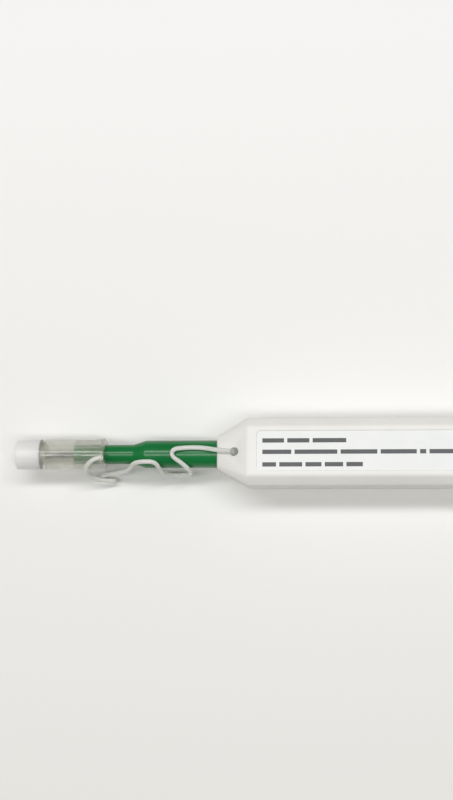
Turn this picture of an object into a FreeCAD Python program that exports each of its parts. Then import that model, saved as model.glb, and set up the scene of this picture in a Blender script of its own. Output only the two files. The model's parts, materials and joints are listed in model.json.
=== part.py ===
import FreeCAD, Part
import math
import os
import re
import Sketcher
from FreeCAD import Placement, Rotation, Vector

# Fibre connector cleaning pen, lying on its flat back with the nozzle towards -X and the label up.
# Each piece is modelled about the pen's axis: X runs along the axis from the front of the housing's
# nose to its butt, Y is across and Z is up. The placement at the end of each piece carries it to
# the part frame, whose origin is the middle of the footprint.

SIZES = {
    # housing
    "shell_length": 145.0,
    "shell_width": 18.0,
    "shell_height": 18.0,
    "shell_chamfer": 2.4,
    "shell_wall": 1.5,
    "edge_break": 0.3,
    "nose_length": 8.3,
    "nose_width": 8.7,
    "nose_chamfer": 0.75,
    "nose_web": 1.7,
    "butt_wall": 2.0,
    "lip_thickness": 0.7,
    "lip_rise": 0.8,
    "post_radius": 1.1,
    "post_boss": 1.85,
    "post_rise": 2.0,
    "post_inset": 1.6,
    "post_margin": 2.0,
    # label
    "label_start": 10.95,
    "label_margin": 11.0,
    "label_width": 10.4,
    "label_corner": 0.8,
    "label_depth": 0.3,
    # tether
    "cord_diameter": 1.3,
    "plug_place": 4.8,
    "plug_radius": 1.15,
    "plug_rise": 1.1,
    # nozzle and tip
    "nozzle_radius": 3.7,
    "nozzle_step": 19.5,
    "nozzle_cone": 3.3,
    "nozzle_neck": 2.6,
    "nozzle_reach": 38.8,
    "nozzle_bore": 1.8,
    "nozzle_seat": 4.3,
    "nozzle_lip": 0.8,
    "flange_radius": 5.6,
    "flange_thickness": 1.8,
    "sleeve_radius": 1.25,
    "sleeve_bore": 1.0,
    "sleeve_collar": 1.5,
    "sleeve_reach": 7.9,
    "tip_radius": 0.9,
    "tip_lead": 0.6,
    "tip_seat": 3.0,
    "tip_flat": 0.62,
    # caps
    "cap_reach": 17.6,
    "cap_overhang": 1.3,
    "cap_radius": 4.15,
    "cap_wall": 0.85,
    "cap_front": 1.4,
    "rim_radius": 4.3,
    "rim_width": 0.75,
    "port_radius": 1.3,
    "port_length": 2.5,
    "port_relief": 1.7,
    "spigot_radius": 3.2,
    "spigot_length": 2.0,
    "eyelet_radius": 1.55,
    "eyelet_bore": 0.9,
    "eyelet_rise": 0.6,
    "eyelet_side": 1.2,
    "end_cap_length": 6.5,
    "end_cap_radius": 4.05,
    "end_cap_nose": 3.93,
    "end_cap_front": 1.2,
    "end_cap_core": 2.5,
    # sliding carriage
    "stroke": 6.0,
    "frame_length": 100.0,
    "frame_floor": 1.5,
    "frame_rib": 1.4,
    "frame_rib_rise": 1.5,
    "frame_wall": 2.0,
    "frame_back": 2.0,
    "bulkhead_place": 40.5,
    "bulkhead_wall": 1.5,
    "spring_boss": 2.2,
    "spring_boss_length": 2.5,
    "axle_radius": 1.0,
    # helical cam
    "rotor_radius": 1.5,
    "rotor_journal": 4.0,
    "rotor_core": 0.5,
    "drum_radius": 4.0,
    "drum_length": 16.0,
    "groove_depth": 1.3,
    "groove_width": 2.4,
    "groove_runout": 1.5,
    "cam_pin_radius": 0.8,
    "cam_boss_radius": 2.0,
    # reels and gear
    "gear_module": 0.5,
    "gear_teeth": 20,
    "gear_thickness": 2.0,
    "gear_backlash": 0.05,
    "rack_height": 2.4,
    "rack_teeth": 9,
    "takeup_place": 54.0,
    "supply_place": 80.0,
    "reel_flange_radius": 5.6,
    "reel_flange": 0.8,
    "reel_hub": 2.4,
    "reel_headroom": 1.2,
    "takeup_wound": 3.6,
    "supply_wound": 4.8,
    "ratchet_teeth": 12,
    "ratchet_radius": 4.5,
    "ratchet_depth": 0.7,
    "ratchet_thickness": 0.9,
    "pawl_thickness": 0.3,
    # springs
    "spring_wire": 0.6,
    "spring_radius": 2.7,
    "spring_turns": 5,
    "tip_spring_wire": 0.2,
    "tip_spring_radius": 0.7,
    "tip_spring_turns": 3,
    "tip_spring_length": 4.0,
    # clearances
    "bearing_gap": 0.06,
    "slide_gap": 0.1,
    "side_gap": 0.3,
    "face_gap": 0.2,
}

PRESSURE_ANGLE = math.radians(20)

document = FreeCAD.newDocument("cleaning_pen")
sheet = document.addObject("Spreadsheet::Sheet", "Sizes")
for row, (alias, number) in enumerate(SIZES.items(), start=1):
    sheet.set(f"A{row}", alias)
    sheet.set(f"B{row}", str(number))
    sheet.setAlias(f"B{row}", alias)
document.recompute()


def bound(text):
    """Point each size named in an expression at the sheet."""
    def cell(found):
        return "Sizes." + found[0] if found[0] in SIZES else found[0]
    return re.sub(r"[a-z]+(?:_[a-z]+)*", cell, str(text))


def value(text):
    return float(sheet.evalExpression(bound(text)))


# Places along the axis, worked out from the sizes.
AXIS_RISE = "shell_height / 2"
NOSE_WALL = "nose_length + nose_web"
NOSE_TOP = "nose_width / 2 + (shell_height - nose_width) / 2 * plug_place / nose_length"
FLANGE_FRONT = f"{NOSE_WALL} + face_gap"
FRAME_FRONT = f"{FLANGE_FRONT} + flange_thickness"
NOZZLE_TIP = "-nozzle_reach"
SLEEVE_TIP = f"{NOZZLE_TIP} - sleeve_reach"
SLEEVE_BACK = f"{NOZZLE_TIP} + nozzle_seat"
COLLAR_FRONT = f"{NOZZLE_TIP} + nozzle_lip"
CAP_FRONT = f"{SLEEVE_TIP} - cap_overhang"
CAP_BACK = f"{CAP_FRONT} + cap_reach"
END_CAP_TIP = f"{CAP_FRONT} - end_cap_length"
ROTOR_FRONT = f"{SLEEVE_BACK} + side_gap"
TIP_BACK = f"{ROTOR_FRONT} + tip_seat"
DRUM_FRONT = f"{FRAME_FRONT} + frame_wall + 1"
DRUM_BACK = f"{DRUM_FRONT} + drum_length"
BEARING_FRONT = f"{DRUM_BACK} + 1"
CAM_PLACE = f"{DRUM_FRONT} + (drum_length + stroke) / 2"
FRAME_BACK = f"{FRAME_FRONT} + frame_length"
TAKEUP_X = f"{FRAME_FRONT} + takeup_place"
SUPPLY_X = f"{FRAME_FRONT} + supply_place"
BULKHEAD_X = f"{FRAME_FRONT} + bulkhead_place"
CAVITY_END = "shell_length - butt_wall"
CAVITY_HALF = "shell_width / 2 - shell_wall"
CAVITY_TOP = "shell_height / 2 - shell_wall"
CAVITY_CHAMFER = "shell_chamfer - shell_wall * 0.586"
FRAME_BOTTOM = f"-({CAVITY_TOP} - side_gap)"
FLOOR_TOP = f"{FRAME_BOTTOM} + frame_floor"
RIB_TOP = f"{FLOOR_TOP} + frame_rib_rise"
GEAR_BOTTOM = f"{RIB_TOP} + face_gap * 2"
GEAR_TOP = f"{GEAR_BOTTOM} + gear_thickness"
REEL_BOTTOM = f"{GEAR_TOP} + face_gap * 2"
REEL_TOP = f"{CAVITY_TOP} - reel_headroom - ratchet_thickness"
PITCH_RADIUS = "gear_module * gear_teeth / 2"
NOSE_X = f"(-({END_CAP_TIP}) - shell_length) / 2"
CAM_BOSS_BOTTOM = "drum_radius + 1"
PIN_BOTTOM = "drum_radius - groove_depth + side_gap"
PLUG_BOTTOM = "nozzle_radius + slide_gap + 0.6"
POST_X = f"{CAVITY_END} - post_boss - post_margin"
POST_Y = f"({CAVITY_HALF} - post_inset)"
LABEL_END = "shell_length - label_margin"
PAWL_TIP = f"{TAKEUP_X} - slide_gap"

# The tether's route about the pen's axis: along, across and up, from the bead to the cut end.
CORD_ROUTE = [
    (4.8, 0.0, 7.6), (0.8, 0.45, 5.9), (-3.0, 1.2, 4.6), (-5.9, 1.4, 4.5), (-8.6, 1.3, 4.6),
    (-11.7, 1.0, 4.7), (-12.1, -0.9, 4.7), (-9.5, -2.6, 4.15), (-7.6, -4.3, 2.6),
    (-7.3, -5.2, -1.3), (-9.8, -5.3, -4.9), (-13.2, -5.3, -4.9), (-15.2, -5.2, -1.2),
    (-15.4, -4.2, 2.8), (-16.5, -2.4, 4.5), (-19.8, -2.3, 4.3), (-22.5, -2.6, 3.3),
    (-23.6, -3.8, 0.8), (-25.3, -4.3, -2.7), (-28.2, -4.7, -3.2), (-29.4, -4.8, 0.6),
    (-28.8, -3.4, 3.8), (-28.6, -1.3, 5.1), (-32.6, -1.2, 5.0), (-34.4, -2.9, 4.5),
    (-35.2, -4.7, 2.5), (-34.9, -5.5, -0.8), (-32.9, -5.4, -4.6), (-30.4, -5.4, -8.1),
]

pieces = []


def limit(drawing, kind, ends, text):
    """Add a dimension to a sketch and bind it to the sheet."""
    index = drawing.addConstraint(Sketcher.Constraint(kind, *ends, value(text)))
    drawing.setExpression(f"Constraints[{index}]", bound(text))


def new_body(label):
    body = document.addObject("PartDesign::Body", label)
    body.Label = label
    return body


def sketch(body, name, plane, offset="0"):
    drawing = body.newObject("Sketcher::SketchObject", f"{body.Label}_{name}")
    origin = next(item for item in body.Origin.OriginFeatures if item.Role == plane)
    drawing.AttachmentSupport = (origin, [""])
    drawing.MapMode = "FlatFace"
    drawing.setExpression("AttachmentOffset.Base.z", bound(offset))
    return drawing


def polygon(drawing, corners):
    """Draw a closed outline whose corners are pairs of expressions."""
    places = [Vector(value(across), value(up), 0) for across, up in corners]
    first = drawing.GeometryCount
    count = len(corners)
    for index, start in enumerate(places):
        drawing.addGeometry(Part.LineSegment(start, places[(index + 1) % count]), False)
    for index, (across, up) in enumerate(corners):
        following = first + (index + 1) % count
        drawing.addConstraint(Sketcher.Constraint("Coincident", first + index, 2, following, 1))
        limit(drawing, "DistanceX", (-1, 1, first + index, 1), across)
        limit(drawing, "DistanceY", (-1, 1, first + index, 1), up)


def rectangle(drawing, left, right, bottom, top):
    polygon(drawing, [(left, bottom), (right, bottom), (right, top), (left, top)])


def circle(drawing, across, up, radius):
    centre = Vector(value(across), value(up), 0)
    ring = drawing.addGeometry(Part.Circle(centre, Vector(0, 0, 1), value(radius)), False)
    limit(drawing, "Radius", (ring,), radius)
    limit(drawing, "DistanceX", (-1, 1, ring, 3), across)
    limit(drawing, "DistanceY", (-1, 1, ring, 3), up)


def octagon(drawing, half_width, half_height, chamfer):
    """Draw a chamfered section, across and up, about the axis."""
    wide, tall, cut = f"({half_width})", f"({half_height})", f"({chamfer})"
    low, narrow = f"({tall} - {cut})", f"({wide} - {cut})"
    polygon(drawing, [
        (wide, low), (narrow, tall), (f"-{narrow}", tall), (f"-{wide}", low),
        (f"-{wide}", f"-{low}"), (f"-{narrow}", f"-{tall}"), (narrow, f"-{tall}"), (wide, f"-{low}"),
    ])


def extrude(body, drawing, length, against=False, kind="PartDesign::Pad"):
    """Pad a sketch along its normal, or against it."""
    step = body.newObject(kind, drawing.Label + "_depth")
    step.Profile = (drawing, [""])
    step.setExpression("Length", bound(length))
    step.Reversed = against
    return step


def pocket(body, drawing, length, against=False):
    """Cut a sketch along its normal, or against it; the depth is checked to remove something."""
    document.recompute()
    before = body.Tip.Shape.Volume
    step = extrude(body, drawing, length, not against, "PartDesign::Pocket")
    document.recompute()
    if step.Shape.Volume > before - 1e-4:
        raise ValueError(f"{step.Label} removes nothing")
    return step


def revolve(body, drawing, axis="H_Axis", kind="PartDesign::Revolution"):
    step = body.newObject(kind, drawing.Label + "_turn")
    step.Profile = (drawing, [""])
    step.ReferenceAxis = (drawing, [axis])
    step.Angle = 360
    return step


def turned(label, outline, axis="H_Axis"):
    """A piece turned about the pen's axis, or with V_Axis about its own upright axis."""
    body = new_body(label)
    drawing = sketch(body, "outline", "XZ_Plane")
    polygon(drawing, outline)
    revolve(body, drawing, axis)
    return body


def helix(body, drawing, pitch, height, kind):
    step = body.newObject(kind, drawing.Label + "_coil")
    step.Profile = (drawing, [""])
    step.ReferenceAxis = (drawing, ["H_Axis"])
    step.Mode = "pitch-height-angle"
    step.setExpression("Pitch", bound(pitch))
    step.setExpression("Height", bound(height))
    return step


def wire_section(drawing, start, radius, thickness):
    """The square section of a spring's wire at the start of its coil."""
    rectangle(drawing, start, f"{start} + {thickness}",
              f"{radius} - {thickness} / 2", f"{radius} + {thickness} / 2")


def polar(body, feature, drawing, count):
    """Repeat a feature round the axis of its sketch."""
    step = body.newObject("PartDesign::PolarPattern", feature.Label + "_ring")
    step.Originals = [feature]
    step.Axis = (drawing, ["N_Axis"])
    step.Angle = 360
    step.setExpression("Occurrences", bound(count))
    body.Tip = step
    return step


def soften(body, size, chosen):
    """Break the edges of a body that a test picks."""
    document.recompute()
    base = body.Tip
    names = [f"Edge{index}" for index, edge in enumerate(base.Shape.Edges, start=1) if chosen(edge)]
    if not names:
        raise ValueError(f"{body.Label} has no such edge")
    step = body.newObject("PartDesign::Chamfer", body.Label + "_edges")
    step.Base = (base, names)
    step.setExpression("Size", bound(size))
    return step


def upright(edge):
    """A straight edge parallel to Z."""
    ends = [vertex.Point for vertex in edge.Vertexes]
    return len(ends) == 2 and (ends[0] - ends[1]).cross(Vector(0, 0, 1)).Length < 1e-6


def rim(edge, place, radius=None):
    """A circle about the pen's axis at a place along it, of any radius or of one."""
    curve = edge.Curve
    if not isinstance(curve, Part.Circle) or abs(curve.Center.x - value(place)) > 1e-4:
        return False
    return radius is None or abs(curve.Radius - value(radius)) < 1e-4


def keep(piece, along="0", across="0", up="0"):
    """Carry a piece from its own place on the pen's axis to the part frame."""
    piece.setExpression("Placement.Base.x", bound(f"{NOSE_X} + {along}"))
    piece.setExpression("Placement.Base.y", bound(across))
    piece.setExpression("Placement.Base.z", bound(f"{AXIS_RISE} + {up}"))
    pieces.append(piece)
    return piece


# ---- Housing ----


def shell_half(label, side):
    """One half shell: the octagonal barrel and its nose, hollowed and split at mid height."""
    body = new_body(label)
    front = sketch(body, "nose_front", "YZ_Plane")
    octagon(front, "nose_width / 2", "nose_width / 2", "nose_chamfer")
    back = sketch(body, "nose_back", "YZ_Plane", "nose_length")
    octagon(back, "shell_width / 2", "shell_height / 2", "shell_chamfer")
    nose = body.newObject("PartDesign::AdditiveLoft", label + "_nose")
    nose.Profile = (front, [""])
    nose.Sections = [(back, [""])]
    nose.Ruled = True
    section = sketch(body, "barrel", "YZ_Plane", "nose_length")
    octagon(section, "shell_width / 2", "shell_height / 2", "shell_chamfer")
    extrude(body, section, "shell_length - nose_length")
    soften(body, "edge_break", lambda edge: True)
    cavity = sketch(body, "cavity", "YZ_Plane", NOSE_WALL)
    octagon(cavity, CAVITY_HALF, CAVITY_TOP, CAVITY_CHAMFER)
    pocket(body, cavity, f"{CAVITY_END} - ({NOSE_WALL})")
    bore = sketch(body, "nozzle_bore", "YZ_Plane")
    circle(bore, "0", "0", "nozzle_radius + slide_gap")
    pocket(body, bore, f"{NOSE_WALL} + 1")
    seat = sketch(body, "spring_seat", "YZ_Plane", CAVITY_END)
    circle(seat, "0", "0", "spring_boss")
    extrude(body, seat, "spring_boss_length", against=True)
    waste = sketch(body, "other_half", "XY_Plane")
    rectangle(waste, "-1", "shell_length + 1", "-shell_width", "shell_width")
    pocket(body, waste, "shell_height", against=side > 0)
    return body


def lip_outlines(drawing, gap):
    """Outlines of the two rails of the seam, grown by a gap."""
    inner = CAVITY_HALF
    outer = f"{CAVITY_HALF} + lip_thickness + {gap}"
    start = f"{NOSE_WALL} + 1 - {gap}"
    end = f"{CAVITY_END} - 1 + {gap}"
    rectangle(drawing, start, end, inner, outer)
    rectangle(drawing, start, end, f"-({outer})", f"-({inner})")


def post_circles(drawing, radius):
    circle(drawing, POST_X, POST_Y, radius)
    circle(drawing, POST_X, f"-{POST_Y}", radius)


def shell_lower():
    body = shell_half("shell_lower", -1)
    lip = sketch(body, "lip", "XY_Plane")
    lip_outlines(lip, "0")
    extrude(body, lip, "lip_rise")
    boss = sketch(body, "post_boss", "XY_Plane")
    post_circles(boss, "post_boss")
    extrude(body, boss, f"{CAVITY_TOP} + edge_break", against=True)
    post = sketch(body, "post", "XY_Plane")
    post_circles(post, "post_radius")
    extrude(body, post, "post_rise")
    return keep(body)


def shell_upper():
    body = shell_half("shell_upper", 1)
    boss = sketch(body, "post_boss", "XY_Plane")
    post_circles(boss, "post_boss")
    extrude(body, boss, f"{CAVITY_TOP} + edge_break")
    rebate = sketch(body, "rebate", "XY_Plane")
    lip_outlines(rebate, "slide_gap")
    pocket(body, rebate, "lip_rise + slide_gap")
    socket = sketch(body, "post_socket", "XY_Plane")
    post_circles(socket, "post_radius + slide_gap")
    pocket(body, socket, "post_rise + slide_gap")
    cam_boss = sketch(body, "cam_boss", "XY_Plane", CAM_BOSS_BOTTOM)
    circle(cam_boss, CAM_PLACE, "0", "cam_boss_radius")
    extrude(body, cam_boss, f"{CAVITY_TOP} + edge_break - ({CAM_BOSS_BOTTOM})")
    cam_hole = sketch(body, "cam_hole", "XY_Plane", CAM_BOSS_BOTTOM)
    circle(cam_hole, CAM_PLACE, "0", "cam_pin_radius")
    pocket(body, cam_hole, f"{CAVITY_TOP} + face_gap - ({CAM_BOSS_BOTTOM})")
    recess = sketch(body, "label_recess", "XY_Plane", "shell_height / 2")
    label_outline(recess, "slide_gap")
    pocket(body, recess, "label_depth", against=True)
    hole = sketch(body, "tether_hole", "XY_Plane", PLUG_BOTTOM)
    circle(hole, "plug_place", "0", "plug_radius")
    pocket(body, hole, "shell_height")
    return keep(body)


def label_outline(drawing, gap):
    """Outline of the label with cut corners, grown by a gap."""
    left, right = f"(label_start - {gap})", f"({LABEL_END} + {gap})"
    half, cut = f"(label_width / 2 + {gap})", "label_corner"
    polygon(drawing, [
        (f"{left} + {cut}", f"-{half}"), (f"{right} - {cut}", f"-{half}"),
        (right, f"-({half} - {cut})"), (right, f"{half} - {cut}"),
        (f"{right} - {cut}", half), (f"{left} + {cut}", half),
        (left, f"{half} - {cut}"), (left, f"-({half} - {cut})"),
    ])


def label():
    body = new_body("label")
    outline = sketch(body, "outline", "XY_Plane", "shell_height / 2 - label_depth")
    label_outline(outline, "0")
    extrude(body, outline, "label_depth / 2")
    return keep(body)


def cam_pin():
    pin = document.addObject("Part::Cylinder", "cam_pin")
    pin.Label = "cam_pin"
    pin.setExpression("Radius", bound("cam_pin_radius"))
    pin.setExpression("Height", bound(f"{CAVITY_TOP} + face_gap - ({PIN_BOTTOM})"))
    return keep(pin, CAM_PLACE, "0", PIN_BOTTOM)


def tether_plug():
    """The bead that anchors the tether in the blind hole of the nose."""
    return keep(turned("tether_plug", [
        ("0", PLUG_BOTTOM), ("plug_radius", PLUG_BOTTOM), ("plug_radius", NOSE_TOP),
        ("plug_radius * 0.8", f"{NOSE_TOP} + plug_rise * 0.8"),
        ("plug_radius * 0.4", f"{NOSE_TOP} + plug_rise"), ("0", f"{NOSE_TOP} + plug_rise"),
    ], "V_Axis"), "plug_place")


def tangent_path(points):
    """Straight runs joined by tangent arcs, each as large as the shorter run at its corner allows."""
    edges, radii, start = [], [], points[0]
    for before, corner, after in zip(points, points[1:], points[2:]):
        inward, outward = corner - before, after - corner
        half_turn = inward.getAngle(outward) / 2
        reach = 0.45 * min(inward.Length, outward.Length)
        radius = reach / math.tan(half_turn)
        inward.normalize()
        outward.normalize()
        first, last = corner - inward * reach, corner + outward * reach
        centre_way = (outward - inward).normalize()
        middle = corner + centre_way * (radius / math.cos(half_turn) - radius)
        edges += [Part.LineSegment(start, first).toShape(), Part.Arc(first, middle, last).toShape()]
        radii.append(radius)
        start = last
    edges.append(Part.LineSegment(start, points[-1]).toShape())
    return Part.Wire(edges), radii


def tether():
    """The plastic cord from the bead in the nose, over the nozzle and through the cap's eyelet."""
    points = [Vector(*place) for place in CORD_ROUTE]
    path, radii = tangent_path(points)
    radius = value("cord_diameter / 2")
    ring = Part.Wire([Part.Circle(points[0], points[1] - points[0], radius).toShape()])
    cord = path.makePipeShell([ring], True, True)
    expected = math.pi * radius ** 2 * path.Length
    print(f"tether: {path.Length:.1f} mm long, volume ratio {cord.Volume / expected:.4f}")
    print("tether radii:", " ".join(f"{bend:.1f}" for bend in radii))
    piece = document.addObject("Part::Feature", "tether")
    piece.Label = "tether"
    piece.Shape = cord
    return keep(piece)


def drive_rack():
    """A straight rack on the side wall, with teeth towards the axis."""
    body = new_body("drive_rack")
    pitch = "(pi * gear_module)"
    tip = "gear_module * 0.9"
    root = "gear_module * 1.25"
    slope = f"{math.tan(PRESSURE_ANGLE):.5f}"
    first = f"({TAKEUP_X} - 2 * {pitch})"
    half = f"({pitch} / 4 - gear_backlash)"
    strip = sketch(body, "strip", "XY_Plane", f"{GEAR_BOTTOM} - face_gap")
    rectangle(strip, f"{first} - {pitch}", f"{first} + rack_teeth * {pitch}",
              f"{PITCH_RADIUS} + {root}", CAVITY_HALF)
    extrude(body, strip, "rack_height")
    tooth = sketch(body, "tooth", "XY_Plane", f"{GEAR_BOTTOM} - face_gap")
    foot, head = f"({half} + {root} * {slope})", f"({half} - {tip} * {slope})"
    foot_line, head_line = f"{PITCH_RADIUS} + {root}", f"{PITCH_RADIUS} - {tip}"
    polygon(tooth, [
        (f"{first} - {foot}", foot_line), (f"{first} - {head}", head_line),
        (f"{first} + {head}", head_line), (f"{first} + {foot}", foot_line),
    ])
    cut = extrude(body, tooth, "rack_height")
    row = body.newObject("PartDesign::LinearPattern", "drive_rack_row")
    row.Originals = [cut]
    row.Direction = (tooth, ["H_Axis"])
    row.setExpression("Length", bound(f"(rack_teeth - 1) * {pitch}"))
    row.setExpression("Occurrences", bound("rack_teeth"))
    body.Tip = row
    return keep(body)


# ---- Nozzle, tip and caps ----


def nozzle():
    """The stepped tube, with the flange that stops it behind the nose."""
    step = "-nozzle_step"
    neck = "-nozzle_step - nozzle_cone"
    body = turned("nozzle", [
        (NOZZLE_TIP, "sleeve_radius"), (NOZZLE_TIP, "nozzle_neck"), (neck, "nozzle_neck"),
        (step, "nozzle_radius"), (FLANGE_FRONT, "nozzle_radius"),
        (FLANGE_FRONT, "flange_radius"), (FRAME_FRONT, "flange_radius"),
        (FRAME_FRONT, "nozzle_bore"), (SLEEVE_BACK, "nozzle_bore"), (SLEEVE_BACK, "sleeve_collar"),
        (COLLAR_FRONT, "sleeve_collar"), (COLLAR_FRONT, "sleeve_radius"),
    ])
    soften(body, "edge_break", lambda edge: rim(edge, NOZZLE_TIP, "nozzle_neck"))
    return keep(body)


def tip_sleeve():
    body = turned("tip_sleeve", [
        (SLEEVE_TIP, "sleeve_bore"), (SLEEVE_TIP, "sleeve_radius"),
        (COLLAR_FRONT, "sleeve_radius"), (COLLAR_FRONT, "sleeve_collar"),
        (SLEEVE_BACK, "sleeve_collar"), (SLEEVE_BACK, "sleeve_bore"),
    ])
    soften(body, "slide_gap", lambda edge: rim(edge, SLEEVE_TIP, "sleeve_radius"))
    return keep(body)


def cleaning_tip():
    """The rod that presses the thread on the ferrule, with a flat on each side for the thread."""
    front = f"{SLEEVE_TIP} - tip_lead"
    body = turned("cleaning_tip", [
        (front, "0"), (front, "tip_radius - 0.25"), (f"{front} + 0.25", "tip_radius"),
        (TIP_BACK, "tip_radius"), (TIP_BACK, "0"),
    ])
    for side in (1, -1):
        flat = sketch(body, f"flat_{side + 1}", "XY_Plane", "-tip_radius")
        rectangle(flat, f"{front} - 1", f"{ROTOR_FRONT} - side_gap",
                  f"{side} * tip_flat", f"{side} * tip_radius * 1.5")
        pocket(body, flat, "tip_radius * 2")
    return keep(body)


def guide_cap():
    """The clear cap: a thin tube with a gripping rim, a port for the ferrule and an eyelet."""
    inside = "cap_radius - cap_wall"
    inner_front = f"{CAP_FRONT} + cap_front"
    grip = "nozzle_neck + slide_gap / 2"
    spigot = f"{CAP_FRONT} - spigot_length"
    relief = f"{spigot} + port_length"
    body = turned("guide_cap", [
        (spigot, "port_radius"), (relief, "port_radius"), (relief, "port_relief"),
        (inner_front, "port_relief"), (inner_front, inside),
        (f"{CAP_BACK} - rim_width", inside), (f"{CAP_BACK} - rim_width", grip),
        (CAP_BACK, grip), (CAP_BACK, "rim_radius"), (f"{CAP_BACK} - rim_width", "rim_radius"),
        (f"{CAP_BACK} - rim_width", "cap_radius"), (CAP_FRONT, "cap_radius"),
        (CAP_FRONT, "spigot_radius"), (spigot, "spigot_radius"),
    ])
    across, up = "-eyelet_side", "rim_radius + eyelet_rise"
    lug = sketch(body, "eyelet", "YZ_Plane", CAP_BACK)
    circle(lug, across, up, "eyelet_radius")
    extrude(body, lug, "rim_width", against=True)
    hole = sketch(body, "eyelet_hole", "YZ_Plane", f"{CAP_BACK} - rim_width")
    circle(hole, across, up, "eyelet_bore")
    pocket(body, hole, "rim_width")
    return keep(body)


def end_cap():
    """The frosted cup that closes the port."""
    mouth = f"{CAP_FRONT}"
    step = f"{CAP_FRONT} - spigot_length - face_gap"
    floor = f"{END_CAP_TIP} + end_cap_front"
    body = turned("end_cap", [
        (END_CAP_TIP, "0"), (END_CAP_TIP, "end_cap_nose"), (mouth, "end_cap_radius"),
        (mouth, "spigot_radius + slide_gap / 2"), (step, "spigot_radius + slide_gap / 2"),
        (step, "end_cap_core"), (floor, "end_cap_core"), (floor, "0"),
    ])
    soften(body, "edge_break", lambda edge: rim(edge, END_CAP_TIP, "end_cap_nose"))
    return keep(body)


# ---- Sliding carriage ----


def carriage_frame():
    """A tray that fills the cavity, cleared between its bulkheads."""
    body = new_body("carriage_frame")
    bar = sketch(body, "bar", "YZ_Plane", FRAME_FRONT)
    octagon(bar, f"{CAVITY_HALF} - side_gap", f"{CAVITY_TOP} - side_gap", CAVITY_CHAMFER)
    extrude(body, bar, "frame_length")
    bays = [
        (f"{FRAME_FRONT} + frame_wall", BEARING_FRONT),
        (f"{BEARING_FRONT} + frame_wall", BULKHEAD_X),
        (f"{BULKHEAD_X} + bulkhead_wall", f"{FRAME_BACK} - frame_back"),
    ]
    above = sketch(body, "bays", "XY_Plane", RIB_TOP)
    tray = sketch(body, "tray", "XY_Plane", FLOOR_TOP)
    for start, end in bays:
        rectangle(above, start, end, "-shell_width / 2", "shell_width / 2")
        rectangle(tray, start, end, f"-({CAVITY_HALF} - side_gap - frame_rib)",
                  f"{CAVITY_HALF} - side_gap - frame_rib")
    pocket(body, above, "shell_height")
    pocket(body, tray, "shell_height")
    bore = sketch(body, "shaft_bore", "YZ_Plane", FRAME_FRONT)
    circle(bore, "0", "0", "rotor_radius + bearing_gap")
    pocket(body, bore, f"{BEARING_FRONT} + frame_wall - ({FRAME_FRONT})")
    window = sketch(body, "thread_window", "YZ_Plane", BULKHEAD_X)
    rectangle(window, "-reel_hub", "reel_hub", "-1", "1")
    pocket(body, window, "bulkhead_wall")
    seats = sketch(body, "axle_bosses", "XY_Plane", FLOOR_TOP)
    holes = sketch(body, "axle_holes", "XY_Plane", FRAME_BOTTOM)
    circle(seats, TAKEUP_X, "0", "axle_radius + 1")
    circle(seats, SUPPLY_X, "0", "axle_radius + 1")
    extrude(body, seats, f"{GEAR_BOTTOM} - face_gap - ({FLOOR_TOP})")
    circle(holes, TAKEUP_X, "0", "axle_radius")
    circle(holes, SUPPLY_X, "0", "axle_radius")
    pocket(body, holes, "shell_height")
    boss = sketch(body, "spring_boss", "YZ_Plane", FRAME_BACK)
    circle(boss, "0", "0", "spring_boss")
    extrude(body, boss, "spring_boss_length")
    return keep(body)


def axle(label, along):
    """A headed pin, upright in the floor of the tray."""
    under = f"{REEL_TOP} + ratchet_thickness + face_gap"
    head = "axle_radius + 0.6"
    return keep(turned(label, [
        ("0", FRAME_BOTTOM), ("axle_radius", FRAME_BOTTOM), ("axle_radius", under),
        (head, under), (head, f"{under} + 0.4"), ("0", f"{under} + 0.4"),
    ], "V_Axis"), along)


def backstop_pawl():
    """A leaf from the bulkhead to the ratchet of the take-up reel."""
    leaf = document.addObject("Part::Box", "backstop_pawl")
    leaf.Label = "backstop_pawl"
    start = f"({BULKHEAD_X} + bulkhead_wall)"
    leaf.setExpression("Length", bound(f"{PAWL_TIP} - {start}"))
    leaf.setExpression("Width", bound("pawl_thickness"))
    leaf.setExpression("Height", bound("ratchet_thickness"))
    edge = "-(ratchet_radius - slide_gap)"
    return keep(leaf, start, edge, REEL_TOP)


def return_spring():
    body = new_body("return_spring")
    wire = sketch(body, "wire", "XZ_Plane")
    room = f"({CAVITY_END} - ({FRAME_BACK}) - spring_wire)"
    wire_section(wire, FRAME_BACK, "spring_radius", "spring_wire")
    helix(body, wire, f"{room} / spring_turns", room, "PartDesign::AdditiveHelix")
    return keep(body)


# ---- Helical cam ----


def cam_rotor():
    """Shaft and drum; the groove makes half a turn over the stroke, with a run-out at each end."""
    socket = "tip_radius + slide_gap / 2"
    spring_end = f"{TIP_BACK} + tip_spring_length"
    tail = f"{BEARING_FRONT} + rotor_journal"
    body = turned("cam_rotor", [
        (ROTOR_FRONT, socket), (ROTOR_FRONT, "rotor_radius"), (DRUM_FRONT, "rotor_radius"),
        (DRUM_FRONT, "drum_radius"), (DRUM_BACK, "drum_radius"), (DRUM_BACK, "rotor_radius"),
        (tail, "rotor_radius"), (tail, "rotor_core"),
        (spring_end, "rotor_core"), (spring_end, socket),
    ])
    groove = sketch(body, "groove", "XZ_Plane")
    start = f"({CAM_PLACE} - stroke - groove_runout)"
    rectangle(groove, f"{start} - groove_width / 2", f"{start} + groove_width / 2",
              "drum_radius - groove_depth", "drum_radius + 0.5")
    helix(body, groove, "stroke * 2", "stroke + groove_runout * 2", "PartDesign::SubtractiveHelix")
    body.Placement = Placement(Vector(), Rotation(Vector(1, 0, 0), 1))
    body.setExpression("Placement.Rotation.Angle", bound("-180 * (stroke + groove_runout) / stroke"))
    return keep(body)


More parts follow.
